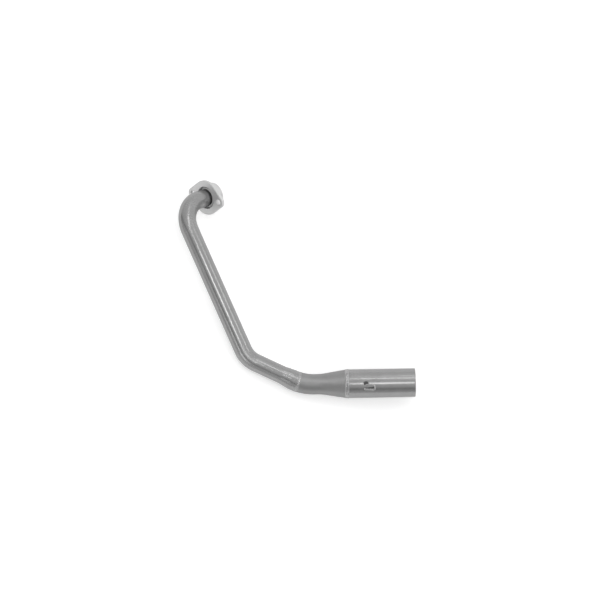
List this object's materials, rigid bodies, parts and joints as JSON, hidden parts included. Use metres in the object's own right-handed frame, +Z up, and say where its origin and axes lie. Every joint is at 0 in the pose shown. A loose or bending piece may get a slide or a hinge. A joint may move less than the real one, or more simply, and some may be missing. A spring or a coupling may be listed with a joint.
{
  "type": "exhaust header pipe",
  "caption": "Bent stainless exhaust header pipe with a loose two-hole port flange, a reducer cone, a wider outlet tube and a wire spring hook.",
  "frame": {"origin": "centre of the port seat, the end face of the collar that goes against the cylinder head", "axes": "+Z up from the floor that the pipe lies on, +X along the outlet tube as seen from above, towards its open end"},
  "size_m": [0.3711, 0.3478, 0.0675],
  "materials": {
    "tube_steel": "brushed stainless",
    "cone_steel": "pickled stainless, nearly matt",
    "flange_steel": "pale blasted steel",
    "weld_steel": "bright weld bead",
    "wire_steel": "drawn stainless wire"
  },
  "bodies": {
    "pipe": {"header_tube": "tube_steel", "reducer_cone": "cone_steel", "outlet_tube": "tube_steel", "port_collar": "flange_steel", "collar_weld": "weld_steel", "front_weld": "weld_steel", "rear_weld": "weld_steel", "spring_hook": "wire_steel", "hook_welds": "weld_steel"},
    "flange": {"port_flange": "flange_steel"}
  },
  "joints": [
    {"name": "flange_slide", "type": "slide", "parent": "pipe", "child": "flange", "axis": [-0.7359, -0.3959, 0.5493], "range_m": [0, 0.026]}
  ]
}
